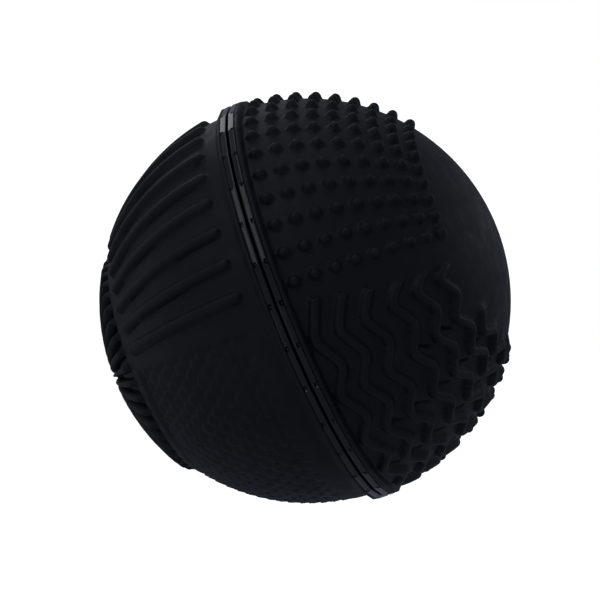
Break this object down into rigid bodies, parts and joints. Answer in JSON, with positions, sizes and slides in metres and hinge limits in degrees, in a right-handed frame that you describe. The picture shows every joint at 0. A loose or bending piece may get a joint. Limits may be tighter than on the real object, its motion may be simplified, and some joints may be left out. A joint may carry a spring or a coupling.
{
  "type": "case opening friction ball",
  "caption": "Black rubber-skinned ball that parts at its equator, with nubs, waves, ribs and scales, and a radially ridged pad on one pole for turning screw-down watch case backs.",
  "frame": {"origin": "centre of the flat hub of the ridged pad, which the ball stands on", "axes": "+Z along the polar axis from the ridged pad to the smooth cap, square to the parting plane; -Y towards the border between the nub and wave fields"},
  "size_m": [0.0726, 0.0726, 0.0707],
  "materials": {
    "skin_rubber": "matte moulded",
    "pad_rubber": "matte moulded",
    "core_plastic": "gloss moulded",
    "ring_nylon": "satin moulded",
    "seal_rubber": "smooth",
    "screw_steel": "zinc plated"
  },
  "bodies": {
    "lower_half": {"lower_skin": "skin_rubber", "lower_core": "core_plastic", "grip_pad": "pad_rubber", "spigot_ring": "ring_nylon", "seal_ring": "seal_rubber", "spigot_screw_1": "screw_steel", "spigot_screw_2": "screw_steel", "spigot_screw_3": "screw_steel", "spigot_screw_4": "screw_steel"},
    "upper_half": {"upper_skin": "skin_rubber", "upper_core": "core_plastic", "socket_ring": "ring_nylon", "socket_screw_1": "screw_steel", "socket_screw_2": "screw_steel", "socket_screw_3": "screw_steel", "socket_screw_4": "screw_steel"}
  },
  "joints": [
    {"name": "halves_part", "type": "slide", "parent": "lower_half", "child": "upper_half", "axis": [0, 0, 1], "range_m": [0, 0.04]}
  ]
}
